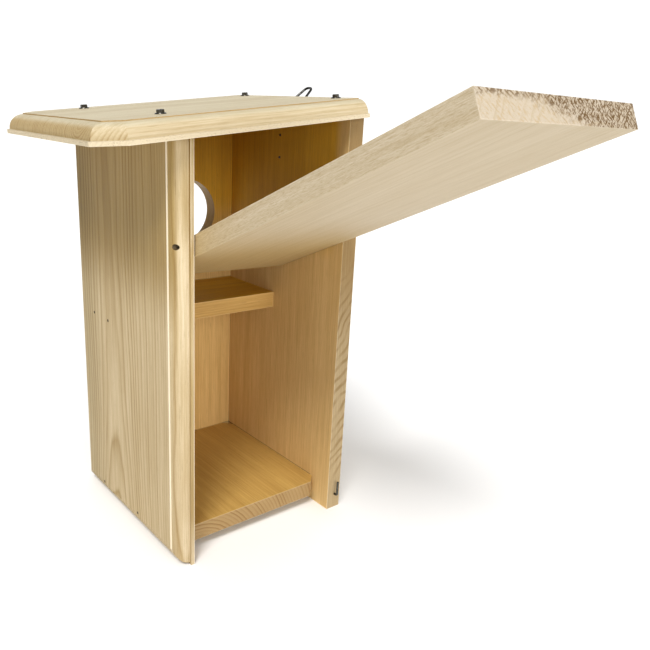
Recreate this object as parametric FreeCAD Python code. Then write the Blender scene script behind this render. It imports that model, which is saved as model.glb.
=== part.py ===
"""Side-opening pine nest box with a sloping roof, millimetres, +Z up.

The origin is the middle of the bottom edge of the back board's outer face, the
edge that is offered up to a post or wall.  The front board faces -Y, the
entrance hole is in the -X side, and the +X side is a door that swings out and up
on two nails.  The door is modelled open, as it is left for cleaning.
"""

import FreeCAD
import Part
import math
import os

V = FreeCAD.Vector

# ---- boards ----
BOARD = 19.05  # every board is planed one-inch pine
INNER_GAP = 184.15  # between the front and back boards: one planed 1x8
BOX_WIDTH = 242.0  # along X, over the edges of the front and back boards
BOX_DEPTH = INNER_GAP + 2 * BOARD
HALF_WIDTH = BOX_WIDTH / 2
FRONT_INNER_Y = BOARD - BOX_DEPTH
BACK_INNER_Y = -BOARD
MIDDLE_Y = -BOX_DEPTH / 2

# ---- roof ----
FRONT_HEIGHT = 436.0  # of the front board, at its outer face
ROOF_SLOPE = 7.0  # degrees, low at the front
FRONT_OVERHANG = 70.5
SIDE_OVERHANG = 9.0
ROOF_CLIP = 24.2  # each front corner is cut off by this much along both edges

# ---- routed edge: a small step, a quarter round, a ledge, then a thin lip ----
STEP = 1.0
LEDGE = 2.6
LIP = 4.0
ROUND = BOARD - STEP - LIP
ROUTED_WIDTH = ROUND + LEDGE

# ---- entrance hole, 3 1/4 inch ----
HOLE_R = 41.3
HOLE_Y = MIDDLE_Y + 25.0
HOLE_Z = 336.5

# ---- floor and shelf ----
FLOOR_Z = 13.0
FLOOR_RECESS = 20.2  # from the door-side edges of the front and back boards
FLOOR_CLIP = 11.0  # clipped corners let water out
SHELF_TOP_Z = 247.5
SHELF_DEPTH = 99.0

# ---- door ----
DOOR_SIDE_GAP = 1.3
DOOR_INSET = 8.0  # pivot axis behind the door's outer face
PIVOT_Z = 340.0
PIVOT_X = HALF_WIDTH - DOOR_INSET
DOOR_BELOW_PIVOT = 338.5
DOOR_ABOVE_PIVOT = 113.4  # at the back side; the top end follows the roof slope
DOOR_OPEN_ANGLE = 113.5  # degrees, at rest

# ---- nails ----
CLEARANCE = 0.05  # radial, round every shank and head
PIVOT_SHANK_R = 1.5
PIVOT_HEAD_R = 2.5
PIVOT_HEAD = 1.4
PIVOT_RECESS = 8.0  # head below the outer face
PIVOT_LENGTH = 38.0
BRAD_SHANK_R = 0.9
BRAD_HEAD_R = 1.4
BRAD_HEAD = 1.2
BRAD_LENGTH = 44.0
BRAD_RECESS = 0.4
SIDE_BRAD_RECESS = 3.4  # these sit in the quarter round
FLOOR_BRAD_XZ = [(-63.0, 18.5), (27.0, 20.5)]
SHELF_BRAD_XZ = [(-72.0, 232.5), (-35.0, 232.0)]
SIDE_BRAD_Z = [55.0, 205.0, 390.0]

# ---- roof screws, hex washer head ----
SCREW_X = [(-93.0, 82.0), (-86.0, 87.5)]  # along the front board, then the back board
SCREW_SHANK_R = 2.1
SCREW_LENGTH = 41.0
SCREW_FLANGE_R = 5.6
SCREW_FLANGE = 1.0
SCREW_HEX_AF = 6.35
SCREW_HEAD = 4.0

# ---- hanger: a flat strap up the back board and the roof's edge, with a ring ----
RING_WIRE_R = 1.35
RING_WIDTH = 25.0  # over the wire, at the hinge
RING_TIP_WIDTH = 13.3
RING_LENGTH = 27.1  # hinge axis to the outside of the far end
RING_BASE_BEND_R = 2.5
RING_TIP_BEND_R = 5.4
RING_LEAN = 48.0  # degrees from upright, towards the back
RING_HINGE_Z = 475.6
STRAP_WIDTH = 10.0
STRAP_THICKNESS = 1.2
STRAP_FOOT_Z = 404.0
RING_HINGE_Y = RING_WIRE_R + CLEARANCE + STRAP_THICKNESS
HANGER_SCREW_Z = [412.6, 438.0]
HANGER_SCREW_R = 1.6
HANGER_SCREW_LENGTH = 22.2
HANGER_HEAD_R = 3.2
HANGER_HEAD = 1.7

# ---- latch: an L-shaped screw hook in the back board's door-side edge ----
LATCH_WIRE_R = 1.4
LATCH_Y = -8.0
LATCH_Z = 18.0
LATCH_STANDOFF = 5.0
LATCH_LEG = 18.0
LATCH_BEND_R = 2.6
LATCH_SHANK = 22.0

FAR = 400.0  # longer than anything that a cutter has to pass through


def box(x0, x1, y0, y1, z0, z1):
    return Part.makeBox(x1 - x0, y1 - y0, z1 - z0, V(x0, y0, z0))


def rod(radius, start, direction, length):
    return Part.makeCylinder(radius, length, start, direction)


def cut_all(body, tools):
    for tool in tools:
        body = body.cut(tool)
    return body


def prism(points, direction):
    """A closed outline of points, pushed along a vector."""
    outline = Part.makePolygon([*points, points[0]])
    return Part.Face(outline).extrude(direction)


# ---- the roof's own frame: x across, u up the slope, w out of the underside ----
ROOF_PLACE = FreeCAD.Placement(
    V(0, -BOX_DEPTH, FRONT_HEIGHT), FreeCAD.Rotation(V(1, 0, 0), ROOF_SLOPE)
)
SLOPE_COS = math.cos(math.radians(ROOF_SLOPE))
ROOF_U0 = -FRONT_OVERHANG
ROOF_U1 = BOX_DEPTH / SLOPE_COS  # flush with the back board, so the box lies flat on a post
ROOF_HALF = HALF_WIDTH + SIDE_OVERHANG
SCREW_U = [BOARD / 2 / SLOPE_COS, (BOX_DEPTH - BOARD / 2) / SLOPE_COS]


def on_roof(shape):
    placed = shape.copy()
    placed.Placement = ROOF_PLACE.multiply(placed.Placement)
    return placed


def above_roof_underside():
    return on_roof(box(-FAR, FAR, -FAR, 2 * FAR, 0, FAR))


def routed_cutter(point, inward, depth):
    """The waste that the router takes off one straight edge.

    point is on the sharp edge, inward leads into the face and depth into the
    board's thickness.
    """
    centre = V(ROUTED_WIDTH, STEP + ROUND, 0)
    diagonal = ROUND / math.sqrt(2)
    corners = [
        V(0, BOARD - LIP, 0) - V(FAR, 0, 0),
        V(-FAR, -FAR, 0),
        V(ROUTED_WIDTH, -FAR, 0),
        V(ROUTED_WIDTH, STEP, 0),
    ]
    lip_start = V(LEDGE, BOARD - LIP, 0)
    middle = centre - V(diagonal, diagonal, 0)
    edges = [Part.makeLine(a, b) for a, b in zip(corners, corners[1:])]
    edges.append(Part.Arc(corners[-1], middle, lip_start).toShape())
    edges.append(Part.makeLine(lip_start, corners[0]))
    waste = Part.Face(Part.Wire(edges)).extrude(V(0, 0, 2 * FAR))
    along = inward.cross(depth)
    start = point - along * FAR
    matrix = FreeCAD.Matrix(
        inward.x, depth.x, along.x, start.x,
        inward.y, depth.y, along.y, start.y,
        inward.z, depth.z, along.z, start.z,
        0, 0, 0, 1,
    )
    waste.Placement = FreeCAD.Placement(matrix)
    return waste


def head_and_shank(start, direction, head, head_length, shank, length, tip=3.0):
    """A nail: a round head, a shank and a blunt point."""
    whole = rod(head, start, direction, head_length)
    whole = whole.fuse(rod(shank, start, direction, length - tip))
    point = Part.makeCone(shank, shank * 0.3, tip, start + direction * (length - tip), direction)
    return whole.fuse(point).removeSplitter()


def nail_hole(start, direction, head, shank, length, recess):
    """Room for a nail whose head is recess below the surface at start."""
    counterbore = rod(head + CLEARANCE, start - direction * 5, direction, recess + 5)
    return counterbore.fuse(rod(shank + CLEARANCE, start, direction, length))


# ---- nails through the front board (+Y) and the back board (-Y) ----
def nail_starts(x, z):
    return [(V(x, -BOX_DEPTH, z), V(0, 1, 0)), (V(x, 0, z), V(0, -1, 0))]


def brads(places, recess):
    shapes = []
    for x, z in places:
        for start, way in nail_starts(x, z):
            head = start + way * recess
            shapes.append(
                head_and_shank(head, way, BRAD_HEAD_R, BRAD_HEAD, BRAD_SHANK_R, BRAD_LENGTH)
            )
    return shapes


def brad_holes(places, recess):
    deep = recess + BRAD_LENGTH + 0.5
    return [
        nail_hole(start, way, BRAD_HEAD_R, BRAD_SHANK_R, deep, recess + BRAD_HEAD)
        for x, z in places
        for start, way in nail_starts(x, z)
    ]


SIDE_BRAD_XZ = [(-HALF_WIDTH + BOARD / 2, z) for z in SIDE_BRAD_Z]


def pivot_nails():
    return [
        head_and_shank(
            start + way * PIVOT_RECESS, way,
            PIVOT_HEAD_R, PIVOT_HEAD, PIVOT_SHANK_R, PIVOT_LENGTH,
        )
        for start, way in nail_starts(PIVOT_X, PIVOT_Z)
    ]


def pivot_holes():
    deep = PIVOT_RECESS + PIVOT_LENGTH + 1.0
    floor = PIVOT_RECESS + PIVOT_HEAD
    return [
        nail_hole(start, way, PIVOT_HEAD_R, PIVOT_SHANK_R, deep, floor)
        for start, way in nail_starts(PIVOT_X, PIVOT_Z)
    ]


# ---- roof screws ----
def screw_places():
    return [V(x, u, BOARD) for u, pair in zip(SCREW_U, SCREW_X) for x in pair]


def hexagon_head():
    corner = SCREW_HEX_AF / math.sqrt(3)
    points = [
        V(corner * math.cos(math.radians(60 * i)), corner * math.sin(math.radians(60 * i)), 0)
        for i in range(6)
    ]
    head = prism(points, V(0, 0, SCREW_HEAD))
    drop = 0.6
    chamfer = Part.makeCone(corner + SCREW_HEAD - drop, corner - drop, SCREW_HEAD)
    return head.common(chamfer)


def roof_screw(at):
    down = V(0, 0, -1)
    flange = Part.makeCone(SCREW_FLANGE_R, SCREW_FLANGE_R - 0.7, SCREW_FLANGE)
    shank = rod(SCREW_SHANK_R, V(0, 0, 0), down, SCREW_LENGTH - 6)
    tip = Part.makeCone(SCREW_SHANK_R, 0.3, 6, V(0, 0, 6 - SCREW_LENGTH), down)
    screw = hexagon_head().fuse([flange, shank, tip]).removeSplitter()
    screw.translate(at)
    return on_roof(screw)


def roof_screws():
    return [roof_screw(at) for at in screw_places()]


def screw_holes():
    down = V(0, 0, -1)
    radius = SCREW_SHANK_R + CLEARANCE
    deep = SCREW_LENGTH + 1
    return [on_roof(rod(radius, at + V(0, 0, 1), down, deep + 1)) for at in screw_places()]


# ---- boards ----
def hanger_screw_holes():
    radius = HANGER_SCREW_R + CLEARANCE
    return [
        rod(radius, V(0, STRAP_THICKNESS + 1, z), V(0, -1, 0), BOARD + STRAP_THICKNESS + 3)
        for z in HANGER_SCREW_Z
    ]


def latch_hole():
    start = V(HALF_WIDTH + 1, LATCH_Y, LATCH_Z)
    return rod(LATCH_WIRE_R + CLEARANCE, start, V(-1, 0, 0), LATCH_SHANK + 2)


def all_nail_holes():
    return [
        *brad_holes(FLOOR_BRAD_XZ, BRAD_RECESS),
        *brad_holes(SHELF_BRAD_XZ, BRAD_RECESS),
        *brad_holes(SIDE_BRAD_XZ, SIDE_BRAD_RECESS),
        *pivot_holes(),
    ]


def front_panel():
    board = box(-HALF_WIDTH, HALF_WIDTH, -BOX_DEPTH, FRONT_INNER_Y, 0, 2 * FAR)
    into = V(0, 1, 0)
    edges = [
        (V(-HALF_WIDTH, -BOX_DEPTH, 0), V(1, 0, 0)),
        (V(HALF_WIDTH, -BOX_DEPTH, 0), V(-1, 0, 0)),
        (V(0, -BOX_DEPTH, 0), V(0, 0, 1)),
    ]
    board = board.cut(above_roof_underside())
    for point, inward in edges:
        board = board.cut(routed_cutter(point + V(0, 0, FAR) * abs(inward.x), inward, into))
    return cut_all(board, [*all_nail_holes(), *screw_holes()])


def back_panel():
    board = box(-HALF_WIDTH, HALF_WIDTH, BACK_INNER_Y, 0, 0, 2 * FAR)
    board = board.cut(above_roof_underside())
    tools = [*all_nail_holes(), *screw_holes(), *hanger_screw_holes(), latch_hole()]
    return cut_all(board, tools)


def entrance_side():
    x0 = -HALF_WIDTH
    board = box(x0, x0 + BOARD, FRONT_INNER_Y, BACK_INNER_Y, 0, 2 * FAR)
    board = board.cut(above_roof_underside())
    hole = rod(HOLE_R, V(x0 - 1, HOLE_Y, HOLE_Z), V(1, 0, 0), BOARD + 2)
    return cut_all(board, [hole, *brad_holes(SIDE_BRAD_XZ, SIDE_BRAD_RECESS)])


def floor_board():
    x0, x1 = BOARD - HALF_WIDTH, HALF_WIDTH - FLOOR_RECESS
    y0, y1 = FRONT_INNER_Y, BACK_INNER_Y
    c = FLOOR_CLIP
    outline = [
        V(x0 + c, y0, FLOOR_Z), V(x1 - c, y0, FLOOR_Z),
        V(x1, y0 + c, FLOOR_Z), V(x1, y1 - c, FLOOR_Z),
        V(x1 - c, y1, FLOOR_Z), V(x0 + c, y1, FLOOR_Z),
        V(x0, y1 - c, FLOOR_Z), V(x0, y0 + c, FLOOR_Z),
    ]
    board = prism(outline, V(0, 0, BOARD))
    return cut_all(board, brad_holes(FLOOR_BRAD_XZ, BRAD_RECESS))


def inner_shelf():
    x0 = BOARD - HALF_WIDTH
    z0 = SHELF_TOP_Z - BOARD
    board = box(x0, x0 + SHELF_DEPTH, FRONT_INNER_Y, BACK_INNER_Y, z0, SHELF_TOP_Z)
    return cut_all(board, brad_holes(SHELF_BRAD_XZ, BRAD_RECESS))


def roof_board():
    """Clipped and routed at the front and sides, square and plain at the back."""
    r, c = ROOF_HALF, ROOF_CLIP
    u0, u1 = ROOF_U0, ROOF_U1
    outline = [
        V(-r, u1, 0), V(-r, u0 + c, 0), V(-r + c, u0, 0),
        V(r - c, u0, 0), V(r, u0 + c, 0), V(r, u1, 0),
    ]
    board = prism(outline, V(0, 0, BOARD))
    top = V(0, 0, BOARD)
    for a, b in zip(outline, outline[1:]):
        along = (b - a).normalize()
        inward = V(-along.y, along.x, 0)
        board = board.cut(routed_cutter((a + b) * 0.5 + top, inward, V(0, 0, -1)))
    return cut_all(on_roof(board), screw_holes())


# ---- door ----
def door_blank():
    """The door as it hangs when shut."""
    y0, y1 = FRONT_INNER_Y + DOOR_SIDE_GAP, BACK_INNER_Y - DOOR_SIDE_GAP
    z0 = PIVOT_Z - DOOR_BELOW_PIVOT
    back_top = PIVOT_Z + DOOR_ABOVE_PIVOT
    front_top = back_top - (y1 - y0) * math.tan(math.radians(ROOF_SLOPE))
    x0 = HALF_WIDTH - BOARD
    outline = [V(x0, y0, z0), V(x0, y1, z0), V(x0, y1, back_top), V(x0, y0, front_top)]
    return prism(outline, V(BOARD, 0, 0))


def side_door():
    door = cut_all(door_blank(), pivot_holes())
    door.rotate(V(PIVOT_X, 0, PIVOT_Z), V(0, -1, 0), DOOR_OPEN_ANGLE)
    return door


# ---- bent wire ----
def bent_path(points, bends, closed=False):
    """Straight runs, with an arc of its own bend radius at each corner."""
    count = len(points)
    corners = range(count) if closed else range(1, count - 1)
    entry, leave, arcs = {}, {}, {}
    for i in corners:
        here = points[i]
        back = (points[i - 1] - here).normalize()
        ahead = (points[(i + 1) % count] - here).normalize()
        half = back.getAngle(ahead) / 2
        bend = bends[i]
        reach = bend / math.tan(half)
        entry[i], leave[i] = here + back * reach, here + ahead * reach
        inner = (back + ahead).normalize()
        middle = here + inner * (bend / math.sin(half) - bend)
        arcs[i] = Part.Arc(entry[i], middle, leave[i]).toShape()
    edges = []
    for i in range(count if closed else count - 1):
        j = (i + 1) % count
        edges.append(Part.makeLine(leave.get(i, points[i]), entry.get(j, points[j])))
        if j in arcs:
            edges.append(arcs[j])
    return Part.Wire(edges)


def bent_wire(points, radius, bends, closed=False):
    path = bent_path(points, bends, closed)
    first = path.Edges[0]
    start = first.valueAt(first.FirstParameter)
    way = first.tangentAt(first.FirstParameter)
    section = Part.Wire([Part.makeCircle(radius, start, way)])
    return path.makePipeShell([section], True, False)


# ---- latch ----
def latch_hook():
    foot = V(HALF_WIDTH - LATCH_SHANK, LATCH_Y, LATCH_Z)
    corner = V(HALF_WIDTH + LATCH_STANDOFF, LATCH_Y, LATCH_Z)
    tip = corner + V(0, 0, LATCH_LEG)
    return bent_wire([foot, corner, tip], LATCH_WIRE_R, [0, LATCH_BEND_R, 0])


# ---- hanger ----
RING_HINGE = V(0, RING_HINGE_Y, RING_HINGE_Z)


def hanger_ring():
    lean = math.radians(RING_LEAN)
    far = RING_HINGE + V(0, math.sin(lean), math.cos(lean)) * (RING_LENGTH - RING_WIRE_R)
    base = V(RING_WIDTH / 2 - RING_WIRE_R, 0, 0)
    tip = V(RING_TIP_WIDTH / 2 - RING_WIRE_R, 0, 0)
    points = [RING_HINGE - base, RING_HINGE + base, far + tip, far - tip]
    bends = [RING_BASE_BEND_R] * 2 + [RING_TIP_BEND_R] * 2
    return bent_wire(points, RING_WIRE_R, bends, closed=True)


def hanger_strap():
    """A flat strip with a round foot, rolled into an eye at its top."""
    bore = RING_WIRE_R + CLEARANCE
    half = STRAP_WIDTH / 2
    foot_z = STRAP_FOOT_Z + half
    strip = box(-half, half, 0, STRAP_THICKNESS, foot_z, RING_HINGE_Z)
    foot = rod(half, V(0, 0, foot_z), V(0, 1, 0), STRAP_THICKNESS)
    across = V(1, 0, 0)
    eye_start = RING_HINGE - across * half
    eye = rod(bore + STRAP_THICKNESS, eye_start, across, STRAP_WIDTH)
    hollow = rod(bore, eye_start - across, across, STRAP_WIDTH + 2)
    strap = strip.fuse([foot, eye])
    return cut_all(strap, [hollow, *hanger_screw_holes()]).removeSplitter()


def hanger_screw(z):
    seat = V(0, STRAP_THICKNESS, z)
    way = V(0, -1, 0)
    dome_r = (HANGER_HEAD_R**2 + HANGER_HEAD**2) / (2 * HANGER_HEAD)
    dome = Part.makeSphere(dome_r, seat + way * (dome_r - HANGER_HEAD))
    head = dome.common(rod(HANGER_HEAD_R, seat, V(0, 1, 0), HANGER_HEAD + 1))
    slot = box(-HANGER_HEAD_R, HANGER_HEAD_R, seat.y + 1.0, seat.y + 5, z - 0.4, z + 0.4)
    point = 3.0
    shank = rod(HANGER_SCREW_R, seat, way, HANGER_SCREW_LENGTH - point)
    tip_at = seat + way * (HANGER_SCREW_LENGTH - point)
    tip = Part.makeCone(HANGER_SCREW_R, 0.3, point, tip_at, way)
    return head.cut(slot).fuse([shank, tip]).removeSplitter()


def main():
    os.makedirs("parts", exist_ok=True)
    pivot_front, pivot_back = pivot_nails()
    nodes = {
        "front_panel": front_panel(),
        "back_panel": back_panel(),
        "entrance_side": entrance_side(),
        "side_door": side_door(),
        "floor_board": floor_board(),
        "inner_shelf": inner_shelf(),
        "roof_board": roof_board(),
        "roof_screws": Part.makeCompound(roof_screws()),
        "pivot_nail_front": pivot_front,
        "pivot_nail_back": pivot_back,
        "floor_brads": Part.makeCompound(brads(FLOOR_BRAD_XZ, BRAD_RECESS)),
        "shelf_brads": Part.makeCompound(brads(SHELF_BRAD_XZ, BRAD_RECESS)),
        "side_brads": Part.makeCompound(brads(SIDE_BRAD_XZ, SIDE_BRAD_RECESS)),
        "latch_hook": latch_hook(),
        "hanger_strap": hanger_strap(),
        "hanger_screws": Part.makeCompound([hanger_screw(z) for z in HANGER_SCREW_Z]),
        "hanger_ring": hanger_ring(),
    }
    for name, shape in nodes.items():
        shape.exportStep(f"parts/{name}.step")
        low, high = shape.BoundBox.getPoint(0), shape.BoundBox.getPoint(6)
        print(name, shape.isValid(), len(shape.Solids), round(shape.Volume), low, high)


main()
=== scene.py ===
"""The looks of a side-opening pine nest box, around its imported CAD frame."""

import math

import bpy
from mathutils import Matrix, Vector


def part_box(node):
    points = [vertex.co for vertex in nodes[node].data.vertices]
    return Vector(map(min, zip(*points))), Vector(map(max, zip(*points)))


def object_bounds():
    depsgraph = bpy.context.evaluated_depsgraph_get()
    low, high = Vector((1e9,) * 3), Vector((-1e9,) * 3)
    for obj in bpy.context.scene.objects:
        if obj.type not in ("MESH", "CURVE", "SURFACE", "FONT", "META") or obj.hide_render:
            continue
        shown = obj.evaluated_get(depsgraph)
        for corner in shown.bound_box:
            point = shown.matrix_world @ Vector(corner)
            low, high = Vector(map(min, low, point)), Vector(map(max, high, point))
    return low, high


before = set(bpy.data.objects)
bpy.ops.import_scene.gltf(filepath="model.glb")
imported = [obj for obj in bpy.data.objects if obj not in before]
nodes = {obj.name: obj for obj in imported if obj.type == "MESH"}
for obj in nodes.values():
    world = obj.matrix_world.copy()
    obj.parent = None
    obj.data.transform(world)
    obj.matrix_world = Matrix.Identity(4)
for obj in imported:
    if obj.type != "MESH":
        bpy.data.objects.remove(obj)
cad_low, cad_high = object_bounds()

MM = 1000.0  # materials work in millimetres, the scene in metres

# ---------------------------------------------------------------- camera and light
CAMERA_AZIMUTH = math.radians(48.85)
CAMERA_ELEVATION = math.radians(16.79)
CAMERA_ROLL = math.radians(3.205)
CAMERA_LENS = 38.26
CAMERA_DISTANCE = 0.80
CAMERA_AIM = Vector((0.098, 0.0927, 0.0116))  # from the middle of the box


def make_camera():
    """The camera looks past the front corner of the open side, a little from above."""
    low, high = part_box("front_panel")
    back_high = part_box("back_panel")[1]
    centre = Vector((0, (low.y + back_high.y) / 2, (low.z + high.z) / 2))
    aim = centre + CAMERA_AIM
    flat = Vector((-math.sin(CAMERA_AZIMUTH), math.cos(CAMERA_AZIMUTH), 0))
    forward = flat * math.cos(CAMERA_ELEVATION) - Vector((0, 0, math.sin(CAMERA_ELEVATION)))
    level = forward.cross(Vector((0, 0, 1))).normalized()
    upright = level.cross(forward)
    right = level * math.cos(CAMERA_ROLL) + upright * math.sin(CAMERA_ROLL)
    up = right.cross(forward)
    data = bpy.data.cameras.new("camera")
    data.lens = CAMERA_LENS
    data.clip_start, data.clip_end = 0.02, 60
    camera = bpy.data.objects.new("camera", data)
    turn = Matrix((right, up, -forward)).transposed().to_4x4()
    camera.matrix_world = Matrix.Translation(aim - forward * CAMERA_DISTANCE) @ turn
    bpy.context.scene.collection.objects.link(camera)
    bpy.context.scene.camera = camera
    return camera


def soft_sun(name, source, strength, angle, colour):
    """Even light from one direction, as from a wide and distant soft box."""
    data = bpy.data.lights.new(name, "SUN")
    data.energy = strength
    data.angle = math.radians(angle)
    data.color = colour
    light = bpy.data.objects.new(name, data)
    light.rotation_mode = "QUATERNION"
    light.rotation_quaternion = (-Vector(source)).to_track_quat("-Z", "Y")
    bpy.context.scene.collection.objects.link(light)


AMBIENT = 0.22
BACKDROP = 1.1
WORLD_PATCHES = [
    ((-0.75, 0.66, 0.0), 0.45, 0.80, 0.90),  # behind the box, as the camera sees it
    ((0.35, -0.15, 1.0), 0.55, 0.90, 0.40),  # overhead
    ((1.0, 0.10, 0.25), 0.35, 0.85, 0.35),  # the door side
]


def world_patch(tree, direction, toward, low, high, amount):
    """Extra light from the part of the studio that lies toward one direction."""
    dot = tree.nodes.new("ShaderNodeVectorMath")
    dot.operation = "DOT_PRODUCT"
    tree.links.new(direction, dot.inputs[0])
    dot.inputs[1].default_value = Vector(toward).normalized()
    patch = tree.nodes.new("ShaderNodeMapRange")
    patch.interpolation_type = "SMOOTHSTEP"
    tree.links.new(dot.outputs["Value"], patch.inputs[0])
    for socket, value in zip(patch.inputs[1:5], (low, high, 0.0, amount)):
        socket.default_value = value
    return patch.outputs[0]


def make_world():
    """A white studio: bright behind the box and overhead, dimmer in front of it."""
    world = bpy.data.worlds.new("studio")
    bpy.context.scene.world = world
    world.use_nodes = True
    tree = world.node_tree
    direction = tree.nodes.new("ShaderNodeTexCoord").outputs["Generated"]
    total = AMBIENT
    for toward, low, high, amount in WORLD_PATCHES:
        add = tree.nodes.new("ShaderNodeMath")
        add.operation = "ADD"
        if isinstance(total, float):
            add.inputs[0].default_value = total
        else:
            tree.links.new(total, add.inputs[0])
        tree.links.new(world_patch(tree, direction, toward, low, high, amount), add.inputs[1])
        total = add.outputs[0]
    seen = tree.nodes.new("ShaderNodeMapRange")  # the backdrop itself is plain white
    tree.links.new(tree.nodes.new("ShaderNodeLightPath").outputs["Is Camera Ray"], seen.inputs[0])
    tree.links.new(total, seen.inputs["To Min"])
    seen.inputs["To Max"].default_value = BACKDROP
    background = tree.nodes["Background"]
    background.inputs["Color"].default_value = (1, 1, 1, 1)
    tree.links.new(seen.outputs[0], background.inputs["Strength"])


def make_light():
    make_world()
    soft_sun("key", (0.38, -0.47, 0.80), 2.25, 20, (1.0, 0.99, 0.97))
    soft_sun("side", (1.0, -0.10, 0.20), 1.3, 36, (1.0, 0.98, 0.95))


FLOOR_HALF = 40.0
FLOOR_DROP = 0.0002


def make_floor():
    corners = [(-FLOOR_HALF, -FLOOR_HALF), (FLOOR_HALF, -FLOOR_HALF),
               (FLOOR_HALF, FLOOR_HALF), (-FLOOR_HALF, FLOOR_HALF)]
    mesh = bpy.data.meshes.new("studio_floor")
    height = cad_low.z - FLOOR_DROP
    mesh.from_pydata([(x, y, height) for x, y in corners], [], [(0, 1, 2, 3)])
    floor = bpy.data.objects.new("studio_floor", mesh)
    bpy.context.scene.collection.objects.link(floor)
    material = bpy.data.materials.new("studio_white")
    material.use_nodes = True
    shader = material.node_tree.nodes["Principled BSDF"]
    shader.inputs["Base Color"].default_value = (0.96, 0.96, 0.96, 1)
    shader.inputs["Roughness"].default_value = 0.9
    shader.inputs["Specular IOR Level"].default_value = 0.0
    mesh.materials.append(material)


# ---------------------------------------------------------------- node helpers
class Graph:
    """Short calls for building one material's nodes."""

    def __init__(self, name):
        self.material = bpy.data.materials.new(name)
        self.material.use_nodes = True
        self.tree = self.material.node_tree
        self.shader = self.tree.nodes["Principled BSDF"]

    def feed(self, socket, value):
        if hasattr(value, "is_output"):
            self.tree.links.new(value, socket)
        else:
            socket.default_value = value

    def math(self, operation, a, b=0.0, c=0.0, clamp=False):
        node = self.tree.nodes.new("ShaderNodeMath")
        node.operation = operation
        node.use_clamp = clamp
        for socket, value in zip(node.inputs, (a, b, c)):
            self.feed(socket, value)
        return node.outputs[0]

    def add(self, a, b):
        return self.math("ADD", a, b)

    def mul(self, a, b):
        return self.math("MULTIPLY", a, b)

    def dot(self, a, b):
        node = self.tree.nodes.new("ShaderNodeVectorMath")
        node.operation = "DOT_PRODUCT"
        self.feed(node.inputs[0], a)
        self.feed(node.inputs[1], b)
        return node.outputs["Value"]

    def vector(self, x, y, z):
        node = self.tree.nodes.new("ShaderNodeCombineXYZ")
        for socket, value in zip(node.inputs, (x, y, z)):
            self.feed(socket, value)
        return node.outputs[0]

    def noise(self, vector, scale=1.0, detail=2.0, rough=0.5, distortion=0.0):
        node = self.tree.nodes.new("ShaderNodeTexNoise")
        self.feed(node.inputs["Vector"], vector)
        node.inputs["Scale"].default_value = scale
        node.inputs["Detail"].default_value = detail
        node.inputs["Roughness"].default_value = rough
        node.inputs["Distortion"].default_value = distortion
        return node.outputs[0]

    def centred_noise(self, vector, amount, **settings):
        """Noise between minus and plus the amount."""
        return self.mul(self.math("SUBTRACT", self.noise(vector, **settings), 0.5), 2 * amount)

    def white(self, value):
        node = self.tree.nodes.new("ShaderNodeTexWhiteNoise")
        node.noise_dimensions = "1D"
        self.feed(node.inputs["W"], value)
        return node.outputs["Value"]

    def ramp(self, value, stops):
        node = self.tree.nodes.new("ShaderNodeValToRGB")
        ramp = node.color_ramp
        while len(ramp.elements) < len(stops):
            ramp.elements.new(0.5)
        for element, (place, shade) in zip(ramp.elements, stops):
            element.position = place
            element.color = shade if len(shade) == 4 else (*shade, 1)
        self.feed(node.inputs[0], value)
        return node.outputs[0]

    def smooth(self, value, low, high, to_low=0.0, to_high=1.0):
        node = self.tree.nodes.new("ShaderNodeMapRange")
        node.interpolation_type = "SMOOTHSTEP"
        for socket, v in zip(node.inputs, (value, low, high, to_low, to_high)):
            self.feed(socket, v)
        return node.outputs[0]

    def mix(self, share, a, b, mode="MIX"):
        node = self.tree.nodes.new("ShaderNodeMix")
        node.data_type = "RGBA"
        node.blend_type = mode
        self.feed(node.inputs[0], share)
        self.feed(node.inputs[6], a if hasattr(a, "is_output") else (*a, 1))
        self.feed(node.inputs[7], b if hasattr(b, "is_output") else (*b, 1))
        return node.outputs[2]

    def coordinates(self, kind):
        node = self.tree.nodes.new("ShaderNodeTexCoord")
        return node.outputs[kind]

    def bump(self, height, strength, distance):
        node = self.tree.nodes.new("ShaderNodeBump")
        node.inputs["Strength"].default_value = strength
        node.inputs["Distance"].default_value = distance
        self.feed(node.inputs["Height"], height)
        self.tree.links.new(node.outputs[0], self.shader.inputs["Normal"])


# ---------------------------------------------------------------- pine
PALE = (0.80, 0.665, 0.46)
TAN = (0.56, 0.385, 0.185)
BOUNCE_SHADE_GOLD = (0.86, 0.665, 0.36)  # painted shade: the warm, darker tone of faces lit only by light bounced off other boards


class Board:
    """Where a board's texture lies: grain, broad face and half sizes in millimetres."""

    def __init__(self, node, grain, face):
        self.node = node
        self.grain = Vector(grain).normalized()
        self.face = Vector(face).normalized()
        self.across = self.grain.cross(self.face)
        points = [nodes[node].matrix_world @ v.co for v in nodes[node].data.vertices]
        self.span = [self.middle_and_half(points, way) for way in
                     (self.grain, self.across, self.face)]

    @staticmethod
    def middle_and_half(points, way):
        reach = [point.dot(way) for point in points]
        return (min(reach) + max(reach)) / 2, (max(reach) - min(reach)) / 2

    def coordinates(self, g):
        """Millimetres along, across and out of the board from its middle."""
        place = g.coordinates("Object")
        return [g.mul(g.math("SUBTRACT", g.dot(place, way), middle), MM)
                for way, (middle, _) in zip((self.grain, self.across, self.face), self.span)]

    def edge_distance(self, g, axes):
        """How far a surface point lies from the nearest arris."""
        gaps = [g.math("SUBTRACT", half * MM, g.math("ABSOLUTE", axis))
                for axis, (_, half) in zip(axes, self.span)]
        low, high = g.math("MINIMUM", gaps[0], gaps[1]), g.math("MAXIMUM", gaps[0], gaps[1])
        return g.math("MAXIMUM", low, g.math("MINIMUM", high, gaps[2]))


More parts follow.
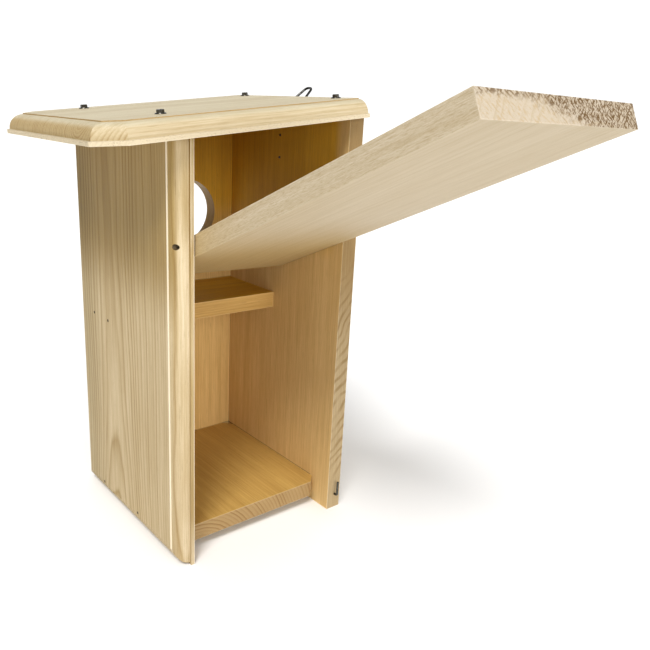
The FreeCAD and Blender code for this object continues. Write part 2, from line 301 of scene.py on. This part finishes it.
def ring_field(g, axes, pith, spacing, slope, arch, waver, seed):
    """Growth rings round a wandering pith: their position and each one's number."""
    along, side, out = axes
    slow = g.vector(g.mul(side, 0.012), g.mul(out, 0.012), g.add(g.mul(along, 0.0035), seed))
    wide = g.centred_noise(slow, waver, scale=1.0, detail=2.0)
    quick = g.vector(g.mul(side, 0.09), g.mul(out, 0.09), g.add(g.mul(along, 0.012), seed + 7))
    small = g.centred_noise(quick, waver * 0.16, scale=1.0, detail=3.0)
    depth = g.add(g.add(out, g.mul(along, slope)), small)
    if arch:
        rise, length, start = arch
        fall = g.math("EXPONENT", g.mul(g.math("SUBTRACT", along, start), -1 / length))
        depth = g.add(depth, g.mul(g.math("SUBTRACT", 1.0, fall), rise))
    x = g.math("SUBTRACT", g.add(side, wide), pith[0])
    y = g.math("SUBTRACT", depth, pith[1])
    radius = g.math("SQRT", g.add(g.mul(x, x), g.mul(y, y)))
    uneven = g.centred_noise(g.vector(g.mul(radius, 0.045), seed, 0.0), 1.1)
    rings = g.add(g.math("DIVIDE", radius, spacing), uneven)
    return g.math("FRACT", rings), g.math("FLOOR", rings)


def painted_face_light(g, colour, face_light_tones, normal):
    """Painted light and shade: multiply the colour on faces that look along a direction, so that
    each face takes the lightness and warmth of the light falling on it.
    """
    for way, tone in face_light_tones:
        share = g.smooth(g.dot(normal, way), 0.6, 0.9)
        colour = g.mix(share, colour, g.mix(1.0, colour, tone, "MULTIPLY"))
    return colour


def wood_noises(g, axes, seed):
    """Noises drawn out along the grain, from broad bands to pores, and even dots last."""
    along, side, out = axes

    def stretched(across, lengthwise, shift=0.0, **settings):
        return g.noise(g.vector(g.mul(side, across), g.mul(out, across),
                                g.add(g.mul(along, lengthwise), shift)), **settings)

    return (stretched(0.16, 0.0035, seed + 3, detail=2.0),
            stretched(0.62, 0.010, seed, detail=3.0, rough=0.62),
            stretched(1.7, 0.045, detail=3.0, rough=0.6),
            stretched(0.95, 0.055, detail=2.0, rough=0.6),
            stretched(2.2, 2.2, detail=3.0, rough=0.65))


def pine(board, pith, spacing=4.2, slope=0.0, arch=None, waver=5.0, pale=PALE, late=TAN,
         contrast=0.55, seed=0.0, end_shade=0.8, tint=0.12, end_contrast=0.9, streaks=1.0,
         speckle=0.04, arris=0.40, face_light_tones=(), extra=None):
    """Sawn pine, as a solid texture cut out of a log.

    pith is the log's centre in millimetres from the board's middle, as (across, out of
    the face). slope and arch tilt the log, so that the rings come out of the broad face
    in arches.
    """
    g = Graph("pine_" + board.node)
    axes = board.coordinates(g)
    along, side, out = axes
    part, index = ring_field(g, axes, pith, spacing, slope, arch, waver, seed)
    ring = g.ramp(part, [(0.0, (0.30,) * 3), (0.12, (0.0,) * 3), (0.45, (0.08,) * 3),
                         (0.70, (0.50,) * 3), (0.88, (1.0,) * 3), (1.0, (0.30,) * 3)])
    strength = g.smooth(g.white(g.add(index, seed)), 0.0, 1.0, 0.35, 1.0)
    normal = g.coordinates("Normal")
    end = g.smooth(g.math("ABSOLUTE", g.dot(normal, board.grain)), 0.45, 0.85)
    long_face = g.math("SUBTRACT", 1.0, end)

    patch = g.noise(g.vector(g.mul(side, 0.03), g.mul(out, 0.03),
                             g.add(g.mul(along, 0.006), seed)), detail=3.0)
    body = g.mix(g.smooth(patch, 0.3, 0.7, 0.0, tint * 2), pale, late)
    share = g.mul(g.mul(ring, strength), g.smooth(end, 0.0, 1.0, contrast, end_contrast))
    colour = g.mix(share, body, late)

    broad, streak, fibre, pores, dots = wood_noises(g, axes, seed)
    shade = g.mul(g.smooth(streak, 0.30, 0.70, 1.0 - 0.18 * streaks, 1.0 + 0.07 * streaks),
                  g.smooth(broad, 0.30, 0.70, 1.0 - 0.11 * streaks, 1.0 + 0.04 * streaks))
    shade = g.mul(shade, g.smooth(fibre, 0.28, 0.72, 0.92, 1.04))
    shade = g.mul(shade, g.smooth(dots, 0.30, 0.70, 1.0 - speckle, 1.0 + speckle * 0.6))
    shade = g.smooth(end, 0.0, 1.0, shade, end_shade)
    colour = g.mix(1.0, colour, g.vector(shade, g.math("POWER", shade, 1.25),
                                         g.math("POWER", shade, 1.9)), "MULTIPLY")
    fleck = g.mul(g.smooth(pores, 0.60, 0.70, 0.0, 0.50 * streaks), long_face)
    colour = g.mix(fleck, colour, tuple(v * 0.62 for v in late))
    rough_end = g.mul(end, g.smooth(dots, 0.42, 0.70, 0.0, 0.42))
    colour = g.mix(rough_end, colour, tuple(v * 0.62 for v in late))
    # painted highlight: pale lines along every arris, where the edges catch the light
    grime_and_arris_highlight = g.smooth(board.edge_distance(g, axes), 0.35, 0.9, arris, 0.0)
    colour = g.mix(grime_and_arris_highlight, colour, (0.90, 0.80, 0.62))
    # painted light and shade, by the way each face looks
    colour = painted_face_light(g, colour, face_light_tones, normal)
    if extra:
        colour = extra(g, colour, end, axes)
    g.feed(g.shader.inputs["Base Color"], colour)
    g.feed(g.shader.inputs["Roughness"], g.smooth(fibre, 0.2, 0.8, 0.52, 0.70))
    g.shader.inputs["Specular IOR Level"].default_value = 0.30
    grain_relief = g.add(g.mul(streak, 0.7), g.add(g.mul(fibre, 0.4), g.mul(ring, -0.15)))
    g.bump(g.add(grain_relief, g.mul(g.mul(end, dots), 1.2)), 0.45, 0.0005)
    return g.material


def paint(node, material):
    """Give a CAD node one material in place of its plain one."""
    mesh = nodes[node].data
    mesh.materials.clear()
    mesh.materials.append(material)


def saw_torn_end_and_pivot_shade(g, colour, end, axes):
    """The free end of the door: torn by the saw and stained, most at its back corner; and painted
    shade, darker and warmer toward the pivot end.
    """
    along, side, out = axes
    patchy = g.centred_noise(g.vector(g.mul(side, 0.07), g.mul(out, 0.16), 3.0), 0.28,
                             detail=4.0, rough=0.65)
    lean = g.add(g.mul(side, -0.0060), g.mul(out, 0.020))
    amount = g.smooth(g.add(patchy, lean), -0.22, 0.08)
    top_band = g.smooth(g.add(out, g.mul(patchy, 14.0)), 3.5, 8.0, 0.0, 0.8)
    amount = g.math("MAXIMUM", amount, top_band)
    sum_way, difference = g.add(side, out), g.math("SUBTRACT", side, out)
    rising = g.noise(g.vector(g.mul(sum_way, 0.50), g.mul(difference, 0.13), 0.0), detail=3.0,
                     rough=0.6)
    falling = g.noise(g.vector(g.mul(difference, 0.50), g.mul(sum_way, 0.13), 5.0), detail=3.0,
                      rough=0.6)
    hatch = g.smooth(g.math("MAXIMUM", rising, falling), 0.48, 0.60, 0.10, 1.0)
    outer = g.mul(end, g.math("GREATER_THAN", along, 0.0))
    faint = g.mul(outer, g.smooth(falling, 0.50, 0.62, 0.0, 0.45))
    colour = g.mix(faint, colour, (0.44, 0.29, 0.12))
    colour = g.mix(g.mul(outer, g.mul(amount, hatch)), colour, (0.125, 0.066, 0.016))
    edge = g.smooth(g.dot(g.coordinates("Normal"), (0, -1, 0)), 0.6, 0.9)
    dash = g.noise(g.vector(g.mul(side, 1.5), g.mul(out, 1.5), g.mul(along, 0.16)), detail=3.0,
                   rough=0.65)
    flecks = g.mul(edge, g.smooth(dash, 0.46, 0.66, 0.0, 0.50))
    colour = g.mix(flecks, colour, (0.36, 0.25, 0.12))
    # painted shade: darker and warmer toward the pivot, where the box shades the door
    inner = g.smooth(along, 20.0, -150.0, 0.0, 1.0)
    return g.mix(inner, colour, g.mix(1.0, colour, (0.84, 0.72, 0.46), "MULTIPLY"))


def painted_shade_above(g, colour, place_z, low, high, tone):
    """Painted shade: the colour turns darker and warmer above a height, where the eaves, the roof
    and the open door cast shade.
    """
    share = g.smooth(place_z, low, high)
    return g.mix(share, colour, g.mix(1.0, colour, tone, "MULTIPLY"))


ROUTED_WIDTH = 16.65  # of the step and quarter round, in from each edge
BRAD_STAIN = 1.45
UPPER_CHAMBER_SHADE = (0.30, 0.36)  # the heights between which painted shade darkens the walls of the upper chamber
# the tones of that painted shade on the back and the side walls
BACK_CHAMBER_SHADE = (1.02, 0.86, 0.20)
SIDE_CHAMBER_SHADE = (1.14, 0.98, 0.24)


def joint_shade_line(g, colour, coordinate, at, half, strength):
    """Painted shade: a dark line along the joint against another board, where the gap between
    them lies in shadow.
    """
    gap = g.math("ABSOLUTE", g.math("SUBTRACT", coordinate, at))
    return g.mix(g.smooth(gap, half * 0.4, half, strength, 0.0), colour, (0.10, 0.055, 0.015))


def back_layers(g, colour, end, axes):
    """Slanting grain in the door-side edge beside a knot; painted shade: the open door's shadow
    on the upper part of that edge, the darker upper chamber and dark lines in the joints.
    """
    along, _, out = axes
    place = g.coordinates("Object")
    x, z = g.dot(place, (1, 0, 0)), g.dot(place, (0, 0, 1))
    normal = g.coordinates("Normal")
    wander = g.centred_noise(g.vector(0.0, g.mul(out, 0.02), g.mul(along, 0.014)), 22.0)
    slant = g.add(g.math("SUBTRACT", along, g.mul(out, 1.25)), wander)
    wave = g.math("SINE", g.mul(slant, 0.42))
    fade = g.noise(g.vector(3.0, g.mul(out, 0.05), g.mul(along, 0.05)), detail=2.0)
    rows = g.mul(g.smooth(wave, -0.1, 0.9), g.smooth(fade, 0.35, 0.60, 0.25, 1.0))
    rows = g.mul(rows, g.smooth(along, 90.0, 10.0))
    rows = g.mul(rows, g.smooth(along, -205.0, -170.0))
    edge = g.smooth(g.dot(normal, (1, 0, 0)), 0.6, 0.9)
    colour = g.mix(g.mul(g.mul(rows, edge), 0.72), colour, (0.24, 0.145, 0.045))
    # painted shadow of the open door on the upper part of the door-side edge
    shaded = painted_shade_above(g, colour, z, 0.20, 0.32, (0.74, 0.65, 0.48))
    colour = g.mix(edge, colour, shaded)
    inside = g.smooth(g.dot(normal, (0, -1, 0)), 0.6, 0.9)
    # painted shade in the upper chamber, stopping short of the open side
    dark = painted_shade_above(g, colour, z, *UPPER_CHAMBER_SHADE, BACK_CHAMBER_SHADE)
    dark = g.mix(g.smooth(x, 0.096, 0.112), dark, colour)
    floor_low, floor_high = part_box("floor_board")
    # painted shade lines along the joint with the floor and in the corner against the entrance
    # side
    joint = joint_shade_line(g, dark, z, floor_high.z, 0.0012, 0.75)
    dark = g.mix(g.math("LESS_THAN", x, floor_high.x - 0.014), dark, joint)
    dark = joint_shade_line(g, dark, x, floor_low.x, 0.0012, 0.45)
    return g.mix(inside, colour, dark)


def side_layers(g, colour, end, axes):
    """Painted shade: the darker upper chamber, and dark lines in the joints against the floor and
    the shelf.
    """
    place = g.coordinates("Object")
    z = g.dot(place, (0, 0, 1))
    inside = g.smooth(g.dot(g.coordinates("Normal"), (1, 0, 0)), 0.6, 0.9)
    # painted shade in the upper chamber and along the joints
    dark = painted_shade_above(g, colour, z, *UPPER_CHAMBER_SHADE, SIDE_CHAMBER_SHADE)
    for node in ("floor_board", "inner_shelf"):
        dark = joint_shade_line(g, dark, z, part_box(node)[1].z, 0.0010, 0.5)
    return g.mix(inside, colour, dark)


def nail_stain(g, colour, centre, radius):
    """A dark ring where a nail has bruised and stained the wood, running along Y."""
    place = g.coordinates("Object")
    across = g.mul(g.math("SUBTRACT", g.dot(place, (1, 0, 0)), centre.x), MM)
    up = g.mul(g.math("SUBTRACT", g.dot(place, (0, 0, 1)), centre.z), MM)
    distance = g.math("SQRT", g.add(g.mul(across, across), g.mul(up, up)))
    return g.mix(g.smooth(distance, radius, radius + 0.5, 0.88, 0.0), colour, (0.05, 0.03, 0.012))


def front_brads():
    """The middles of the brad heads in the front board's face, found from their meshes."""
    middles = []
    for node in ("floor_brads", "shelf_brads"):
        points = [nodes[node].matrix_world @ v.co for v in nodes[node].data.vertices]
        front = min(point.y for point in points)
        heads = []
        for point in (p for p in points if p.y < front + 0.0005):
            near = [h for h in heads if (h[0] - point).length < 0.006]
            if near:
                near[0].append(point)
            else:
                heads.append([point])
        for head in heads:
            middles.append(sum(head, Vector()) / len(head))
    return middles


def routed_step_highlights(g, colour, half, axes):
    """Painted highlight: a pale line along each routed step, where the light catches it."""
    _, side, out = axes
    from_edge = g.math("SUBTRACT", half, g.math("ABSOLUTE", side))
    from_step = g.math("ABSOLUTE", g.math("SUBTRACT", from_edge, ROUTED_WIDTH))
    step_highlight = g.mul(g.smooth(from_step, 0.6, 1.1, 0.75, 0.0), g.math("GREATER_THAN", out, 0.0))
    return g.mix(step_highlight, colour, (0.84, 0.76, 0.60))


def front_layers(g, colour, end, axes):
    """Painted shade under the eaves, toward the left and on the lower routed strip; painted
    highlights along the routed steps; stains round nails.
    """
    along, side, _ = axes
    low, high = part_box("front_panel")
    half = (high.x - low.x) / 2 * MM
    outside = g.smooth(g.dot(g.coordinates("Normal"), (0, -1, 0)), 0.6, 0.9)
    height = g.dot(g.coordinates("Object"), (0, 0, 1))
    # painted shadow of the roof's overhang across the upper front face
    eaves = painted_shade_above(g, colour, height, 0.25, 0.33, (0.68, 0.60, 0.38))
    colour = g.mix(outside, colour, eaves)
    # painted highlights along the routed steps
    colour = routed_step_highlights(g, colour, half, axes)
    # painted shade toward the left of the front face
    left = g.mul(g.smooth(side, -30.0, -100.0), outside)
    colour = g.mix(left, colour, g.mix(1.0, colour, (0.80, 0.80, 0.76), "MULTIPLY"))
    # painted shade on the lower part of the routed strip at the door side
    foot = g.mul(g.smooth(side, half - 16.0, half - 12.0), g.smooth(along, 120.0, -200.0))
    colour = g.mix(foot, colour, g.mix(1.0, colour, (0.86, 0.84, 0.82), "MULTIPLY"))
    low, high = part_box("pivot_nail_front")
    colour = nail_stain(g, colour, (low + high) / 2, (high.x - low.x) / 2 * MM + 0.1)
    for centre in front_brads():
        colour = nail_stain(g, colour, centre, BRAD_STAIN)
    return colour


def roof_layers(g, colour, end, axes):
    """A painted shadow line along the step above the quarter round, and the pale, splintered lip
    below it.
    """
    along, side, out = axes
    lip = g.smooth(out, -4.9, -5.6)
    flat = g.math("ABSOLUTE", g.dot(g.coordinates("Normal"), (0, 0, 1)))
    lip = g.mul(lip, g.smooth(flat, 0.6, 0.3))
    chips = g.noise(g.vector(g.mul(side, 0.5), g.mul(out, 1.2), g.mul(along, 0.5)), detail=4.0,
                    rough=0.7)
    colour = g.mix(g.mul(lip, 0.6), colour, (0.78, 0.68, 0.50))
    # painted shadow along the step above the quarter round
    step = g.mul(g.smooth(out, 8.1, 8.5), g.smooth(flat, 0.8, 0.5))
    colour = g.mix(g.mul(step, 0.6), colour, (0.38, 0.22, 0.06))
    return g.mix(g.mul(lip, g.smooth(chips, 0.56, 0.68, 0.0, 0.8)), colour, (0.20, 0.13, 0.06))


ROOF_SLOPE = math.radians(7.0)
DOOR_LIFT = math.radians(23.5)  # of the open door, above level


def make_wood():
    roof_grain = (0, math.cos(ROOF_SLOPE), math.sin(ROOF_SLOPE))
    roof_face = (0, -math.sin(ROOF_SLOPE), math.cos(ROOF_SLOPE))
    door_grain = (math.cos(DOOR_LIFT), 0, math.sin(DOOR_LIFT))
    door_face = (-math.sin(DOOR_LIFT), 0, math.cos(DOOR_LIFT))
    up = (0, 0, 1)
    front = Board("front_panel", up, (0, -1, 0))
    back = Board("back_panel", up, (0, 1, 0))
    side = Board("entrance_side", up, (-1, 0, 0))
    door = Board("side_door", door_grain, door_face)
    floor = Board("floor_board", (1, 0, 0), up)
    shelf = Board("inner_shelf", (0, 1, 0), up)
    roof = Board("roof_board", roof_grain, roof_face)
    # the tones given to each board below are painted light and shade, by the way each face looks
    paint("front_panel", pine(front, (-26, -22), spacing=5.4, arch=(18, 108, -219), waver=9,
                              contrast=0.95, seed=3.1, pale=(0.61, 0.49, 0.305),
                              late=(0.36, 0.24, 0.085), streaks=0.60, speckle=0.07,
                              face_light_tones=[((1, 0, 0), (1.20, 1.27, 1.44)), ((0, 1, 0), BOUNCE_SHADE_GOLD)],
                              extra=front_layers))
    paint("back_panel", pine(back, (-170, -60), spacing=3.0, slope=0.02, waver=7, contrast=0.36,
                             seed=11.7, pale=(0.58, 0.45, 0.27), late=(0.42, 0.28, 0.12),
                             streaks=0.50, speckle=0.08,
                             face_light_tones=[((0, -1, 0), (1.34, 1.23, 0.95)),
                                    ((1, 0, 0), (0.80, 0.78, 0.74))], extra=back_layers))
    paint("entrance_side", pine(side, (160, -60), spacing=4.0, slope=0.02, waver=6,
                                contrast=0.22, seed=17.9, pale=(0.60, 0.475, 0.30),
                                late=(0.44, 0.30, 0.13), streaks=0.6,
                                face_light_tones=[((1, 0, 0), (1.25, 1.06, 0.66)),
                                       ((0, -1, 0), (0.60, 0.46, 0.22))], extra=side_layers))
    paint("side_door", pine(door, (-40, -70), spacing=5.4, slope=0.05, waver=8, contrast=0.22,
                            seed=23.3, end_shade=1.0, tint=0.06, end_contrast=0.45,
                            streaks=0.34, speckle=0.07, arris=0.15, pale=(0.59, 0.50, 0.36),
                            late=(0.46, 0.34, 0.18),
                            face_light_tones=[(door_grain, (0.97, 0.99, 1.08))],
                            extra=saw_torn_end_and_pivot_shade))
    paint("floor_board", pine(floor, (80, -48), spacing=4.4, slope=0.01, waver=5,
                              contrast=0.20, seed=31.3, end_shade=0.9, end_contrast=1.0,
                              pale=(0.66, 0.50, 0.28), late=(0.38, 0.23, 0.08), streaks=0.5,
                              face_light_tones=[((0, 0, 1), (0.90, 0.76, 0.40)),
                                     ((1, 0, 0), (0.68, 0.61, 0.50))]))
    paint("inner_shelf", pine(shelf, (10, -60), spacing=3.6, slope=0.02, waver=4,
                              contrast=0.50, seed=37.1, pale=(0.70, 0.53, 0.29), streaks=0.7,
                              face_light_tones=[((0, 0, 1), (0.90, 0.67, 0.10)),
                                     ((1, 0, 0), (0.84, 0.69, 0.40))]))
    paint("roof_board", pine(roof, (75, 9), spacing=3.8, slope=0.01, waver=5, contrast=0.30,
                             seed=41.9, pale=(0.64, 0.545, 0.375), late=(0.40, 0.27, 0.11),
                             end_shade=0.90, end_contrast=1.0, streaks=0.6,
                             face_light_tones=[((0, 0, 1), (0.94, 0.99, 1.04)),
                                    ((0, -1, 0), (0.90, 0.83, 0.66))], extra=roof_layers))


# ---------------------------------------------------------------- metal
def metal(name, colour, rough, grime_and_arris_highlight):
    """Drawn or stamped steel with fine scratches and patches of grime."""
    g = Graph(name)
    place = g.coordinates("Object")
    grime = g.noise(place, scale=900.0, detail=4.0, rough=0.6)
    scratch = g.noise(g.vector(g.dot(place, (2600, 0, 0)), g.dot(place, (0, 300, 0)),
                               g.dot(place, (0, 0, 300))), scale=1.0, detail=2.0)
    g.feed(g.shader.inputs["Base Color"], g.mix(g.smooth(grime, 0.4, 0.7), colour, grime_and_arris_highlight))
    g.shader.inputs["Metallic"].default_value = 1.0
    g.feed(g.shader.inputs["Roughness"], g.smooth(scratch, 0.3, 0.7, rough, rough + 0.18))
    g.bump(scratch, 0.12, 0.00005)
    return g.material


def make_metal():
    screw = metal("dark_zinc", (0.10, 0.094, 0.082), 0.20, (0.02, 0.018, 0.014))
    nail = metal("nail_steel", (0.035, 0.026, 0.018), 0.50, (0.015, 0.01, 0.006))
    hook = metal("bright_zinc", (0.13, 0.128, 0.115), 0.24, (0.03, 0.027, 0.02))
    ring = metal("oiled_steel", (0.065, 0.064, 0.06), 0.22, (0.02, 0.018, 0.014))
    for node in ("roof_screws", "hanger_screws"):
        paint(node, screw)
    for node in ("pivot_nail_front", "pivot_nail_back", "floor_brads", "shelf_brads",
                 "side_brads"):
        paint(node, nail)
    paint("latch_hook", hook)
    for node in ("hanger_ring", "hanger_strap"):
        paint(node, ring)


make_camera()
make_light()
make_floor()
make_wood()
make_metal()

bpy.context.scene.view_settings.view_transform = "Standard"
